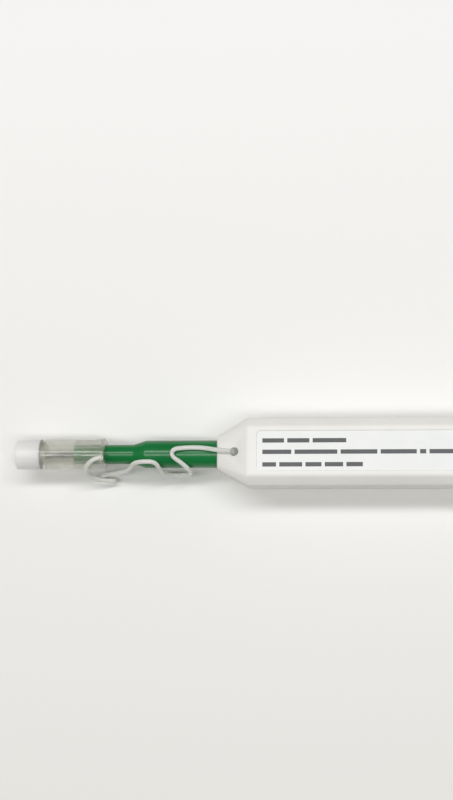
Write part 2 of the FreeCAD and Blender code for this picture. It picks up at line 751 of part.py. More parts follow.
def tip_spring():
    body = new_body("tip_spring")
    wire = sketch(body, "wire", "XZ_Plane")
    room = "(tip_spring_length - tip_spring_wire)"
    wire_section(wire, TIP_BACK, "tip_spring_radius", "tip_spring_wire")
    helix(body, wire, f"{room} / tip_spring_turns", room, "PartDesign::AdditiveHelix")
    return keep(body)


# ---- Gear and reels, each about its own upright axis ----


def gap_angle(radius):
    """Half the angle of a tooth gap at a radius: involute flanks, radial below the base circle."""
    teeth = SIZES["gear_teeth"]
    base = value(PITCH_RADIUS) * math.cos(PRESSURE_ANGLE)
    slant = math.acos(min(1.0, base / radius))
    grown = (math.tan(slant) - slant) - (math.tan(PRESSURE_ANGLE) - PRESSURE_ANGLE)
    return math.pi / (2 * teeth) + grown + SIZES["gear_backlash"] / radius


def drive_gear():
    body = new_body("drive_gear")
    blank = sketch(body, "blank", "XY_Plane", GEAR_BOTTOM)
    circle(blank, "0", "0", f"{PITCH_RADIUS} + gear_module")
    circle(blank, "0", "0", "axle_radius + bearing_gap")
    extrude(body, blank, "gear_thickness")
    gap = sketch(body, "gap", "XY_Plane", GEAR_BOTTOM)
    radii = [value(f"{PITCH_RADIUS} + gear_module * {reach}") for reach in (-1.25, 0, 1.2)]
    flanks = []
    for side in (-1, 1):
        angles = [side * gap_angle(radius) for radius in radii]
        flanks.append([Vector(r * math.sin(a), r * math.cos(a), 0) for r, a in zip(radii, angles)])
    left, right = flanks
    gap.addGeometry(Part.Arc(*left), False)
    gap.addGeometry(Part.LineSegment(left[2], right[2]), False)
    gap.addGeometry(Part.Arc(*right), False)
    gap.addGeometry(Part.LineSegment(right[0], left[0]), False)
    cut = pocket(body, gap, "gear_thickness")
    polar(body, cut, gap, "gear_teeth")
    return keep(body, TAKEUP_X)


def reel_outline():
    """Half section of a reel: two flanges on a hub."""
    bore, top = "axle_radius + bearing_gap", REEL_TOP
    low, high = f"{REEL_BOTTOM} + reel_flange", f"{REEL_TOP} - reel_flange"
    return [
        (bore, REEL_BOTTOM), ("reel_flange_radius", REEL_BOTTOM), ("reel_flange_radius", low),
        ("reel_hub", low), ("reel_hub", high), ("reel_flange_radius", high),
        ("reel_flange_radius", top), (bore, top),
    ]


def takeup_reel():
    """The take-up reel, with saw teeth on top whose steep sides face back."""
    body = turned("takeup_reel", reel_outline(), "V_Axis")
    wheel = sketch(body, "ratchet", "XY_Plane", REEL_TOP)
    circle(wheel, "0", "0", "ratchet_radius")
    circle(wheel, "0", "0", "axle_radius + bearing_gap")
    extrude(body, wheel, "ratchet_thickness")
    tooth = sketch(body, "tooth", "XY_Plane", REEL_TOP)
    turn = "(360 / ratchet_teeth)"
    over = "(ratchet_radius + 0.4)"
    polygon(tooth, [
        (f"-ratchet_radius * sin({turn})", f"-ratchet_radius * cos({turn})"),
        ("0", "-(ratchet_radius - ratchet_depth)"), ("0", f"-{over}"),
        (f"-{over} * sin({turn})", f"-{over} * cos({turn})"),
    ])
    cut = pocket(body, tooth, "ratchet_thickness")
    polar(body, cut, tooth, "ratchet_teeth")
    return keep(body, TAKEUP_X)


def supply_reel():
    return keep(turned("supply_reel", reel_outline(), "V_Axis"), SUPPLY_X)


def wound_thread(label, radius, along):
    """The thread wound on a reel, as one ring."""
    low, high = f"{REEL_BOTTOM} + reel_flange", f"{REEL_TOP} - reel_flange"
    return keep(turned(label, [
        ("reel_hub", low), (radius, low), (radius, high), ("reel_hub", high),
    ], "V_Axis"), along)


shell_lower()
shell_upper()
label()
tether_plug()
tether()
cam_pin()
drive_rack()
nozzle()
tip_sleeve()
carriage_frame()
axle("takeup_axle", TAKEUP_X)
axle("supply_axle", SUPPLY_X)
backstop_pawl()
return_spring()
cam_rotor()
tip_spring()
cleaning_tip()
drive_gear()
takeup_reel()
wound_thread("takeup_thread", "takeup_wound", TAKEUP_X)
supply_reel()
wound_thread("supply_thread", "supply_wound", SUPPLY_X)
guide_cap()
end_cap()

document.recompute()
for item in document.Objects:
    if "Invalid" in item.State or "Error" in item.State:
        raise ValueError(f"{item.Label} failed")
for piece in pieces:
    if piece.Shape.isNull() or not piece.Shape.isValid():
        raise ValueError(f"{piece.Label} has no valid shape")

os.makedirs("parts", exist_ok=True)
for piece in pieces:
    piece.Shape.exportStep(f"parts/{piece.Label}.step")
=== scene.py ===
# %% [markdown]
# # A cleaning pen for fibre optic connectors
# The pen is a long white housing with a green nozzle at its front. A clear guide cap and a
# frosted end cap close the nozzle, and a soft tether keeps the guide cap on the housing.
# Blender only dresses the part: the solids come from the CAD model, in metres, and a piece
# that is made here rides on one of its bodies. Sizes are written in millimetres where a
# maker would write them so, and MM turns them to metres.

import json
import math

import bmesh
import bpy
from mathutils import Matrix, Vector


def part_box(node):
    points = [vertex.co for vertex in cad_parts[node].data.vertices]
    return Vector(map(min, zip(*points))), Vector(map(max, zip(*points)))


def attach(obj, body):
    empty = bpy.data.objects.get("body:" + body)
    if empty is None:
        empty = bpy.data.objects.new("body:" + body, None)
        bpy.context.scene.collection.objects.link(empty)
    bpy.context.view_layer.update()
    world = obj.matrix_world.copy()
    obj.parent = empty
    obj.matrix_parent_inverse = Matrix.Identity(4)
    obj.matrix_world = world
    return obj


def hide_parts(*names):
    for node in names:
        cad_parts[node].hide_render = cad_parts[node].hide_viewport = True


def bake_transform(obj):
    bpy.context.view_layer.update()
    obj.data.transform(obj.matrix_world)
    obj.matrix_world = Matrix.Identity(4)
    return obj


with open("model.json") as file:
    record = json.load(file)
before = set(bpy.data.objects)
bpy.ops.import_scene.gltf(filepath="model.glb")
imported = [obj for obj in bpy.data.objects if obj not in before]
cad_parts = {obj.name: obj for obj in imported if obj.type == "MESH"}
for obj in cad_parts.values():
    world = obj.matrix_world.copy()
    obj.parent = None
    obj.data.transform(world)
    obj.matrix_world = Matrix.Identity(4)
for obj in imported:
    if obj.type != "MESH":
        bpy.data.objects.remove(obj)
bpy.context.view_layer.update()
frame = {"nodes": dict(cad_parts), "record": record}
MM = 0.001
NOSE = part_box("shell_upper")[0].x
AXIS = (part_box("nozzle")[0].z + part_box("nozzle")[1].z) / 2
LABEL_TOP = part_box("label")[1].z
print("nodes", len(frame["nodes"]), "nose", round(NOSE / MM, 2), "axis", round(AXIS / MM, 2))

# %% [markdown]
# ## Camera
# The pen lies on a table and is seen from about 0.4 m above, a little from its front side.
# A short telephoto lens keeps the housing's long edges straight. A Track To constraint could
# aim the camera, but three angles say plainly how it is held. It is turned towards the caps,
# and a small shift brings the nozzle into the upright frame.

# %% Camera
def look_from(place, tilt, turn, roll):
    """A camera above the table, tilted and turned by so many degrees from straight down."""
    camera = bpy.data.objects.new("camera", bpy.data.cameras.new("camera"))
    bpy.context.scene.collection.objects.link(camera)
    camera.location = [c * MM for c in place]
    camera.rotation_euler = [math.radians(a) for a in (tilt, turn, roll)]
    camera.data.sensor_fit = "VERTICAL"
    camera.data.sensor_height = 36
    camera.data.clip_start = 0.01
    return camera


camera = look_from(place=(-10.8, -35.6, 382.8), tilt=7.64, turn=2.87, roll=0.05)
camera.data.lens = 63
camera.data.shift_x = -0.0625
bpy.context.scene.camera = camera
print("camera", [round(c / MM, 1) for c in camera.location], "lens", camera.data.lens)

# %% [markdown]
# ## Helpers
# Colours are written as sRGB hex values, as in any paint program, and Blender's shaders work
# in linear light, so one function turns them.

# %% Colours
def linear(code):
    """Linear red, green, blue and alpha of an sRGB hex colour."""
    parts = [int(code[i : i + 2], 16) / 255 for i in (1, 3, 5)]
    return [c / 12.92 if c <= 0.04045 else ((c + 0.055) / 1.055) ** 2.4 for c in parts] + [1]


print("white in linear light", [round(c, 3) for c in linear("#f3f4f1")])

# %% [markdown]
# A material is a tree of nodes. One function adds a node, sets it and links it, so that a
# material reads from its first pattern down to its shader.

# %% Nodes
def add(tree, kind, inputs=None, **settings):
    """A node with its settings, and its inputs as values or as other nodes' outputs."""
    made = tree.nodes.new(kind)
    for name, value in settings.items():
        setattr(made, name, value)
    for name, value in (inputs or {}).items():
        if isinstance(value, bpy.types.NodeSocket):
            tree.links.new(value, made.inputs[name])
        else:
            made.inputs[name].default_value = value
    return made


def new_material(name):
    """An empty node material and its tree, with the output and the shader in place."""
    made = bpy.data.materials.new(name)
    made.use_nodes = True
    tree = made.node_tree
    tree.nodes.clear()
    shader = add(tree, "ShaderNodeBsdfPrincipled")
    add(tree, "ShaderNodeOutputMaterial", {"Surface": shader.outputs[0]})
    return made, tree, shader


print("node helpers", add.__name__, new_material.__name__)

# %% [markdown]
# No surface is one flat colour or one gloss. Image textures could show that, but noise needs
# no files, has no seams and keeps its size in millimetres on every piece.

# %% Patterns
def grain(tree, size, detail=2.0, stretch=(1, 1, 1)):
    """Noise whose spots are about size millimetres across, on the piece's own coordinates."""
    place = add(tree, "ShaderNodeTexCoord").outputs["Object"]
    turned = add(tree, "ShaderNodeMapping", {"Vector": place, "Scale": stretch})
    scale = 1 / (size * MM)
    return add(
        tree, "ShaderNodeTexNoise", {"Vector": turned.outputs[0], "Scale": scale, "Detail": detail}
    ).outputs["Fac"]


def ramp(tree, value, stops):
    """A colour ramp with stops of place and sRGB colour."""
    made = add(tree, "ShaderNodeValToRGB", {"Fac": value})
    band = made.color_ramp
    for i, (place, code) in enumerate(stops):
        stop = band.elements[i] if i < 2 else band.elements.new(place)
        stop.position = place
        stop.color = linear(code)
    return made.outputs["Color"]


def spread(tree, value, low, high):
    """A noise value turned to the range from low to high."""
    inputs = {"Value": value, "From Min": 0.3, "From Max": 0.7, "To Min": low, "To Max": high}
    return add(tree, "ShaderNodeMapRange", inputs).outputs["Result"]


print("patterns", grain.__name__, ramp.__name__, spread.__name__)

# %% [markdown]
# Every plastic on the pen is injection moulded, and what tells them apart is how much light
# goes through them and how finely their moulds were textured. So one function makes them
# all, from two near colours, a range of roughness and the size and depth of the texture in
# millimetres, and each plastic adds only what is its own.

# %% Moulded plastic
def moulded(name, light, dark, rough, bump, size=0.25, **sockets):
    """A moulded plastic: slow colour drift, fine tool texture in its bump and its gloss."""
    made, tree, shader = new_material(name)
    drift = grain(tree, size=18)
    texture = grain(tree, size, detail=4)
    colour = ramp(tree, drift, [(0.35, dark), (0.65, light)])
    tree.links.new(colour, shader.inputs["Base Color"])
    tree.links.new(spread(tree, texture, rough[0], rough[1]), shader.inputs["Roughness"])
    depth = {"Height": texture, "Strength": 0.35, "Distance": bump * MM}
    relief = add(tree, "ShaderNodeBump", depth)
    tree.links.new(relief.outputs[0], shader.inputs["Normal"])
    for socket, value in sockets.items():
        shader.inputs[socket.replace("_", " ")].default_value = value
    return made


print("plastics come from", moulded.__name__)

# %% [markdown]
# ## Tether
# The tether is a soft cord of clear thermoplastic rubber. Its lump sits in the housing's
# nose, it wanders over and along the nozzle in slack folds, doubles back on the table and
# ends in the eyelet on the guide cap, where it is welded. Its line is a NURBS spline whose
# control points are the route's points, because such a spline bends as softly as the cord
# does.

# %% The tether's line, in metres from the nose
ROUTE = [
    (0.0048, 0, 0.0076), (0.0008, 0.00045, 0.0059), (-0.003, 0.0012, 0.0046),
    (-0.0059, 0.0014, 0.0045), (-0.0086, 0.0013, 0.0046), (-0.0117, 0.001, 0.0047),
    (-0.0121, -0.0009, 0.0047), (-0.0095, -0.0026, 0.00415), (-0.0076, -0.0043, 0.0026),
    (-0.0073, -0.0052, -0.0013), (-0.0098, -0.0053, -0.0049), (-0.0132, -0.0053, -0.0049),
    (-0.0152, -0.0052, -0.0012), (-0.0154, -0.0042, 0.0028), (-0.0165, -0.0024, 0.0045),
    (-0.0198, -0.0023, 0.0043), (-0.0225, -0.0026, 0.0033), (-0.0236, -0.0038, 0.0008),
    (-0.0253, -0.0044, -0.0024), (-0.0284, -0.0047, -0.005), (-0.0314, -0.005, -0.0059),
    (-0.0329, -0.0053, -0.0067), (-0.0327, -0.0058, -0.0078), (-0.0314, -0.006, -0.0082),
    (-0.0294, -0.0063, -0.008), (-0.0288, -0.0066, -0.0065), (-0.0306, -0.0067, -0.0058),
    (-0.0336, -0.0064, -0.0042), (-0.0356, -0.0056, -0.001), (-0.0357, -0.0045, 0.0027),
    (-0.0342, -0.0026, 0.0049), (-0.032, -0.00125, 0.005), (-0.0303, -0.0012, 0.00495),
]  # fmt: skip


def soft_line(points):
    """Points read from the smooth spline that the control points give."""
    data = bpy.data.curves.new("tether_line", "CURVE")
    data.dimensions = "3D"
    data.resolution_u = 10
    spline = data.splines.new("NURBS")
    spline.points.add(len(points) - 1)
    for at, (x, y, z) in zip(spline.points, points):
        at.co = (x + NOSE, y, z + AXIS, 1)
    spline.order_u = 3
    spline.use_endpoint_u = True
    line = bpy.data.objects.new("tether_line", data)
    bpy.context.scene.collection.objects.link(line)
    mesh = bpy.data.meshes.new_from_object(line)
    found = [v.co.copy() for v in mesh.vertices]
    bpy.data.objects.remove(line)
    return found


tether_line = soft_line(ROUTE)
step_lengths = [(b - a).length for a, b in zip(tether_line, tether_line[1:])]
print("tether", len(tether_line), "points,", round(sum(step_lengths) / MM, 1), "mm long")

# %% [markdown]
# A curve with a round bevel would make the tube in one step. A mesh is made instead, because
# the cord has to be cut between two bodies, and only rings that are turned alike on both
# sides of the cut leave no step there.

# %% Tubes along the line
def directions(points):
    """At each point, the line's own direction and two directions across it that turn least."""
    found = []
    across = (points[1] - points[0]).orthogonal()
    for i in range(len(points)):
        along = (points[min(i + 1, len(points) - 1)] - points[max(i - 1, 0)]).normalized()
        across = (across - along * across.dot(along)).normalized()
        found.append((along, across, along.cross(across)))
    return found


def tube(name, points, turned, radius, sides=16):
    """A closed tube of that radius round a line of points."""
    form = bmesh.new()
    angles = [2 * math.pi * k / sides for k in range(sides)]
    rings = []
    for place, (_, across, up) in zip(points, turned):
        rings.append([
            form.verts.new(place + (across * math.cos(a) + up * math.sin(a)) * radius)
            for a in angles
        ])  # fmt: skip
    for a, b in zip(rings, rings[1:]):
        for k in range(sides):
            n = (k + 1) % sides
            form.faces.new((a[k], a[n], b[n], b[k]))
    form.faces.new(rings[0][::-1])
    form.faces.new(rings[-1])
    bmesh.ops.recalc_face_normals(form, faces=form.faces)
    return finish_mesh(name, form)


def finish_mesh(name, form, smooth=True):
    """A new object at the origin from a bmesh, its faces shaded smooth or flat."""
    data = bpy.data.meshes.new(name)
    form.to_mesh(data)
    form.free()
    for face in data.polygons:
        face.use_smooth = smooth
    made = bpy.data.objects.new(name, data)
    bpy.context.scene.collection.objects.link(made)
    return made


ways = directions(tether_line)
print("directions at", len(ways), "points, the first", [round(c, 2) for c in ways[0][0]])

# %% [markdown]
# The cord follows the housing at its rear, the nozzle in its middle and the guide cap at its
# front. A piece can be blended between two bodies only, so the cord is two pieces that meet
# beside the nozzle, where both follow the nozzle alone and never part.

# %% Two lengths of tether
TETHER_RADIUS = 0.6 * MM
MEETING = NOSE - 15.5 * MM
meeting = min(i for i, p in enumerate(tether_line) if p.x < MEETING)
rear_line, front_line = tether_line[: meeting + 1], tether_line[meeting:]
tether_rear = tube("tether_rear", rear_line, ways[: meeting + 1], TETHER_RADIUS)
tether_front = tube("tether_front", front_line, ways[meeting:], TETHER_RADIUS)
for piece, line in ((tether_rear, rear_line), (tether_front, front_line)):
    length = sum((b - a).length for a, b in zip(line, line[1:]))
    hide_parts("tether")
    print(piece.name, round(length / MM, 1), "mm")
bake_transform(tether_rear)  # fmt: skip
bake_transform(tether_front)  # fmt: skip

# %% [markdown]
# ## Table and light
# The pen lies on a pale matt table top. Its colour, and not more light on the pen, makes the
# background nearly white, and a painted shade in that colour makes it a little darker on the
# near side. It is far larger than the pen, so its edge is out of the main view and far away in
# the low ones. One flat face is enough: a curved backdrop would do as well, but it would have
# to turn with each view.

# %% Table, in metres
TABLE_SIDE = 12
TABLE_TOP = -0.02 * MM
PAINTED_SHADE_HALF_SPAN = 0.12


def flat_sheet(name, width, depth, height):
    """One flat face that size, facing up."""
    form = bmesh.new()
    corners = [(-1, -1), (1, -1), (1, 1), (-1, 1)]
    form.faces.new([form.verts.new((x * width / 2, y * depth / 2, height)) for x, y in corners])
    return finish_mesh(name, form, smooth=False)


table = flat_sheet("table", TABLE_SIDE, TABLE_SIDE, TABLE_TOP)
paper, tree, shader = new_material("matt_table_laminate_painted_shade")
fibre = grain(tree, 0.6, detail=5)
# Painted shade: the colour runs from darker on the near side to lighter on the far side.
place = add(tree, "ShaderNodeTexCoord").outputs["Object"]
across = add(tree, "ShaderNodeSeparateXYZ", {"Vector": place}).outputs["Y"]
depth = add(
    tree, "ShaderNodeMapRange",
    {"Value": across, "From Min": -PAINTED_SHADE_HALF_SPAN, "From Max": PAINTED_SHADE_HALF_SPAN},
)  # fmt: skip
colour = ramp(tree, depth.outputs[0], [(0, "#e9e9e6"), (1, "#fcfcfc")])
tree.links.new(colour, shader.inputs["Base Color"])
tree.links.new(spread(tree, fibre, 0.55, 0.7), shader.inputs["Roughness"])
relief = add(tree, "ShaderNodeBump", {"Height": fibre, "Strength": 0.2, "Distance": 0.02 * MM})
tree.links.new(relief.outputs[0], shader.inputs["Normal"])
table.data.materials.append(paper)
print("table", [round(c, 2) for c in table.dimensions])

# %% [markdown]
# Two long soft lamps hang high over the table, one on each side. They are long and narrow,
# so each leaves a thin bright line along every round plastic surface, and they hang aside
# from where the label would mirror them. Near lamps would do for a smaller table, but these
# are metres away, so their light hardly fades from one end of the pen to the other. The rest
# of the room gives only a weak, warm light, so the sloped edges of the housing are darker
# and warmer than its top.

# %% Lamps, in metres and watts
LAMP_SIZE = (3.2, 0.4)
LAMP_HEIGHT = 2.5
MIDDLE_OF_VIEW = Vector((-0.03, 0, 0.01))


def long_lamp(name, place, size, power):
    """A rectangular lamp that faces the pen."""
    data = bpy.data.lights.new(name, "AREA")
    data.shape = "RECTANGLE"
    data.size, data.size_y = size
    data.energy = power
    lamp = bpy.data.objects.new(name, data)
    bpy.context.scene.collection.objects.link(lamp)
    lamp.location = place
    aim = MIDDLE_OF_VIEW - Vector(place)
    lamp.rotation_euler = aim.to_track_quat("-Z", "Y").to_euler()


long_lamp("lamp_near", (-0.1, -0.5, LAMP_HEIGHT), LAMP_SIZE, power=32)
long_lamp("lamp_far", (-0.1, 0.85, LAMP_HEIGHT), LAMP_SIZE, power=40)
world = bpy.data.worlds.new("room")
bpy.context.scene.world = world
world.use_nodes = True
world.node_tree.nodes.clear()
room = add(
    world.node_tree, "ShaderNodeBackground", {"Color": linear("#f2e6d0"), "Strength": 0.1}
)
add(world.node_tree, "ShaderNodeOutputWorld", {"Surface": room.outputs[0]})
bpy.context.scene.view_settings.view_transform = "Standard"

# %% [markdown]
# ## Finishes
# The housing, the nozzle and the parts inside are opaque. They differ in their gloss: satin
# where a hand holds the pen, polished where the nozzle slides, and waxy where gears turn.

# %% Opaque mouldings
# ABS from a spark-eroded mould: a soft satin white that hides finger marks.
white_abs = moulded(
    "white_abs_satin", "#f3f3ef", "#efefea", (0.38, 0.5), 0.006, IOR=1.54, Specular_IOR_Level=0.45
)
# Coloured ABS from a polished mould: deep green with a clear line of light along it.
green_abs = moulded(
    "green_abs_polished", "#17763c", "#146e38", (0.2, 0.28), 0.0015,
    IOR=1.54, Specular_IOR_Level=0.35,
)  # fmt: skip
# Acetal is slippery and slightly waxy, so it is used for what slides and turns.
acetal = moulded("natural_acetal", "#e8e6dc", "#dfddd2", (0.35, 0.45), 0.004, IOR=1.48)
acetal_gear = moulded("grey_acetal_gears", "#c9cbc9", "#bfc2c1", (0.35, 0.45), 0.004, IOR=1.48)
print("opaque", white_abs.name, green_abs.name, acetal.name, acetal_gear.name)

# %% [markdown]
# Five finishes let light through. Transmission bends the light as clear plastic does, a
# diffuse share clouds it, and light that wanders under the surface makes the milky end cap
# glow in its own shade.

# %% Clear and frosted mouldings
# Clear polycarbonate: glossy, with a faint warm cast. The wall is so thin that much of the
# light goes straight through it, and only the rest is bent, so its alpha is below 1.
clear_pc = moulded(
    "clear_polycarbonate", "#fbfbf3", "#f5f5ea", (0.03, 0.06), 0.001, size=1.5,
    IOR=1.5, Transmission_Weight=0.8, Alpha=0.6,
)  # fmt: skip
# The same plastic from a part of the mould that was left rough: it lets light through but
# no shapes.
clouded_pc = moulded(
    "frosted_polycarbonate", "#fbfbf5", "#f6f6ee", (0.3, 0.4), 0.001, size=0.6,
    IOR=1.5, Transmission_Weight=0.4,
)  # fmt: skip
# Low-density polyethylene: soft and milky, so shapes behind it are only shadows.
milky_pe = moulded(
    "milky_polyethylene", "#fefefc", "#fafaf7", (0.3, 0.36), 0.0006, size=0.6,
    IOR=1.45, Transmission_Weight=0.08, Subsurface_Weight=0.6, Subsurface_Scale=2.5 * MM,
    Subsurface_Radius=(1, 1, 0.95),
)  # fmt: skip
# Thermoplastic rubber from a small polished mould: clear, so the dark hole shows through.
clear_bead = moulded(
    "polished_thermoplastic_rubber", "#fbfdf8", "#f6f9f1", (0.03, 0.06), 0.001, size=1.2,
    IOR=1.45, Transmission_Weight=0.68,
)  # fmt: skip
# The same rubber drawn out as a cord: slightly clouded, with bright edges along it.
clear_rubber = moulded(
    "clear_thermoplastic_rubber", "#fdfefb", "#f8faf4", (0.08, 0.14), 0.001, size=1.2,
    IOR=1.45, Transmission_Weight=0.36,
)  # fmt: skip
see_through = (clear_pc, clouded_pc, milky_pe, clear_bead, clear_rubber)
print("see-through", [finish.name for finish in see_through])

# %% [markdown]
# The tip's sleeve is a stainless steel tube, pulled through a ring to its thickness, so its
# marks run along it. Noise that is stretched along the pen draws them.

# %% Metal
def drawn_steel():
    """Stainless steel tube drawn through a die: faint lines run along it and stretch its gloss."""
    made, tree, shader = new_material("drawn_stainless_steel")
    lines = grain(tree, 0.25, detail=3, stretch=(0.05, 1, 1))
    colour = ramp(tree, lines, [(0.3, "#a2a7ac"), (0.7, "#b6bbc0")])
    tree.links.new(colour, shader.inputs["Base Color"])
    tree.links.new(spread(tree, lines, 0.24, 0.34), shader.inputs["Roughness"])
    depth = {"Height": lines, "Strength": 0.25, "Distance": 0.003 * MM}
    relief = add(tree, "ShaderNodeBump", depth)
    tree.links.new(relief.outputs[0], shader.inputs["Normal"])
    shader.inputs["Metallic"].default_value = 1.0
    return made


steel = drawn_steel()
print("metal", steel.name)

# %% [markdown]
# The cleaning thread is spun from fine fibres and wound turn beside turn. A wave texture
# draws the turns, a little distorted, because no winding is quite even. Its darker bands are
# painted shade in the grooves between the turns.

# %% Thread
def spun_thread():
    """Cleaning thread of fine white microfibre, wound turn beside turn."""
    made, tree, shader = new_material("microfibre_thread")
    place = add(tree, "ShaderNodeTexCoord").outputs["Object"]
    turns_and_groove_shade = add(
        tree, "ShaderNodeTexWave",
        {"Vector": place, "Scale": 1 / (2 * MM), "Distortion": 1.5},
        wave_type="BANDS", bands_direction="Z",
    ).outputs["Fac"]  # fmt: skip
    # Painted shade: the colour is darker in the grooves between the turns.
    colour = ramp(tree, turns_and_groove_shade, [(0.2, "#d9d9d4"), (0.8, "#f6f6f2")])
    tree.links.new(colour, shader.inputs["Base Color"])
    tree.links.new(spread(tree, turns_and_groove_shade, 0.8, 0.95), shader.inputs["Roughness"])
    depth = {"Height": turns_and_groove_shade, "Strength": 0.6, "Distance": 0.1 * MM}
    relief = add(tree, "ShaderNodeBump", depth)
    tree.links.new(relief.outputs[0], shader.inputs["Normal"])
    shader.inputs["Sheen Weight"].default_value = 0.3
    return made


thread = spun_thread()
print("thread", thread.name)

# %% [markdown]
# The label is paper with a gloss coat. A thin clear coat over a rougher paper gives it both
# a soft tooth and a shine, and it is a cooler white than the housing, so it stands out.

# %% Label and ink
def label_film():
    """Gloss-coated paper: a cooler white than the housing, smooth, with a faint paper tooth."""
    made, tree, shader = new_material("gloss_coated_label_paper")
    tooth = grain(tree, 0.35, detail=4)
    colour = ramp(tree, grain(tree, size=9), [(0.35, "#f4f7f6"), (0.65, "#f9fbfb")])
    tree.links.new(colour, shader.inputs["Base Color"])
    tree.links.new(spread(tree, tooth, 0.25, 0.35), shader.inputs["Roughness"])
    depth = {"Height": tooth, "Strength": 0.2, "Distance": 0.003 * MM}
    relief = add(tree, "ShaderNodeBump", depth)
    tree.links.new(relief.outputs[0], shader.inputs["Normal"])
    shader.inputs["Coat Weight"].default_value = 0.4
    return made


film = label_film()
# Ink dries matt and a little uneven, and small dark print looks grey from afar.
ink = moulded("matt_printing_ink", "#606265", "#585a5c", (0.5, 0.65), 0.002, size=0.3)
print("label", film.name, ink.name)

# %% [markdown]
# ## Turned mouldings
# The nozzle and both caps are round about the pen's axis. A moulded edge is never sharp: its
# small radius catches the light as a thin line, and in clear plastic it draws the whole rim.
# So each round piece is spun from one closed outline whose every corner has its own radius,
# which gives clean rings of faces that the light can bend through.

# %% Rounded outline and turned piece
def rounded_outline(corners, steps=4):
    """A closed outline of (along, radius, rounding) in millimetres, its corners made arcs."""
    line = []
    for i, (x, r, rounding) in enumerate(corners):
        here = Vector((x, r))
        if rounding == 0:
            line.append(here)
            continue
        back = (Vector(corners[i - 1][:2]) - here).normalized()
        ahead = (Vector(corners[(i + 1) % len(corners)][:2]) - here).normalized()
        half = back.angle(ahead) / 2
        reach = rounding / math.tan(half)
        middle = here + (back + ahead).normalized() * (rounding / math.sin(half))
        start = here + back * reach - middle
        sweep = start.angle_signed(here + ahead * reach - middle)
        for k in range(steps + 1):
            turn = -sweep * k / steps
            c, n = math.cos(turn), math.sin(turn)
            line.append(middle + Vector((start.x * c - start.y * n, start.x * n + start.y * c)))
    return line


def spun(name, corners, sides=96):
    """A closed round piece, its outline spun about the pen's axis."""
    form = bmesh.new()
    rings = []
    for x, r in rounded_outline(corners):
        angles = [2 * math.pi * k / sides for k in range(sides if r > 0 else 1)]
        rings.append(
            [form.verts.new((NOSE + x * MM, math.cos(a) * r * MM, AXIS + math.sin(a) * r * MM))
             for a in angles]
        )  # fmt: skip
    for a, b in zip(rings, rings[1:] + rings[:1]):
        if len(a) == len(b) == 1:
            continue
        for k in range(sides):
            n = (k + 1) % sides
            corner = [a[k % len(a)], a[n % len(a)], b[n % len(b)], b[k % len(b)]]
            form.faces.new(list(dict.fromkeys(corner)))
    bmesh.ops.recalc_face_normals(form, faces=form.faces)
    return finish_mesh(name, form)


def dress(piece, body, slot, finish, *nodes):
    """Give a piece its finish, its body and the solids that it stands for."""
    piece.data.materials.clear()
    piece.data.materials.append(finish)
    if nodes:
        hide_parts(*nodes)
    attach(piece, body)


print("one corner becomes", len(rounded_outline([(0, 0, 0), (1, 0, 0.2), (1, 1, 0)])) - 2, "points")

# %% [markdown]
# The nozzle is a tube with two thicknesses and a cone between them. Its thin front enters an
# adapter, and a hidden collar at its rear keeps it in the housing. Its outline runs once
# round its wall, from the front face along the outside and back through the bore.

# %% Nozzle
green_nozzle = spun("green_nozzle", [
    (-38.8, 1.25, 0), (-38.8, 2.6, 0.35), (-22.8, 2.6, 2.5), (-19.5, 3.7, 2.0),
    (10.2, 3.7, 0.1), (10.2, 5.6, 0.15), (12, 5.6, 0.15), (12, 1.8, 0.1),
    (-34.5, 1.8, 0), (-34.5, 1.5, 0), (-38, 1.5, 0), (-38, 1.25, 0),
])  # fmt: skip
dress(green_nozzle, "carriage", "green_plastic", green_abs, "nozzle")
print("nozzle", len(green_nozzle.data.polygons), "faces")

# %% [markdown]
# The guide cap is a thin clear tube with a thicker rim at its open end, which grips the
# nozzle's neck, and a short hollow plug at its front, on which the end cap sits. In clear
# plastic both sides of the wall show, so the outline follows the inside as closely as the
# outside.

# %% Guide cap
clear_cap = spun("clear_cap", [
    (-50, 1.3, 0.12), (-47.5, 1.3, 0.05), (-47.5, 1.7, 0.05), (-46.6, 1.7, 0.12),
    (-46.6, 3.3, 0.25), (-31.15, 3.3, 0.12), (-31.15, 2.65, 0.12), (-30.4, 2.65, 0.15),
    (-30.4, 4.3, 0.2), (-31.15, 4.3, 0.07), (-31.15, 4.15, 0.05), (-48, 4.15, 0.15),
    (-48, 3.2, 0.1), (-50, 3.2, 0.12),
])  # fmt: skip
dress(clear_cap, "guide_cap_body", "clear_plastic", clear_pc, "guide_cap")
# The plug that the end cap is pushed on has frosted faces, which grip better.
clear_cap.data.materials.append(clouded_pc)
PLUG_START = NOSE - 46.4 * MM
for face in clear_cap.data.polygons:
    face.material_index = int(face.center.x < PLUG_START)
print("guide cap", len(clear_cap.data.polygons), "faces")

# %% [markdown]
# A flat ring stands on the cap's rim, and the tether ends in its hole. It is round about its
# own hole and not about the pen's axis, so it has a function of its own.

# %% Eyelet on the guide cap's rim
def washer(name, centre, outer, hole, thick, rounding, sides=48):
    """A flat ring across the pen's axis, its corners rounded, its sizes in millimetres."""
    form = bmesh.new()
    outline = rounded_outline([
        (centre[0], hole, rounding), (centre[0], outer, rounding),
        (centre[0] + thick, outer, rounding), (centre[0] + thick, hole, rounding),
    ])  # fmt: skip
    rings = []
    for x, r in outline:
        angles = [2 * math.pi * k / sides for k in range(sides)]
        rings.append(
            [form.verts.new((NOSE + x * MM, (centre[1] + math.cos(a) * r) * MM,
                             AXIS + (centre[2] + math.sin(a) * r) * MM)) for a in angles]
        )  # fmt: skip
    for a, b in zip(rings, rings[1:] + rings[:1]):
        for k in range(sides):
            n = (k + 1) % sides
            form.faces.new((a[k], a[n], b[n], b[k]))
    bmesh.ops.recalc_face_normals(form, faces=form.faces)
    return finish_mesh(name, form)


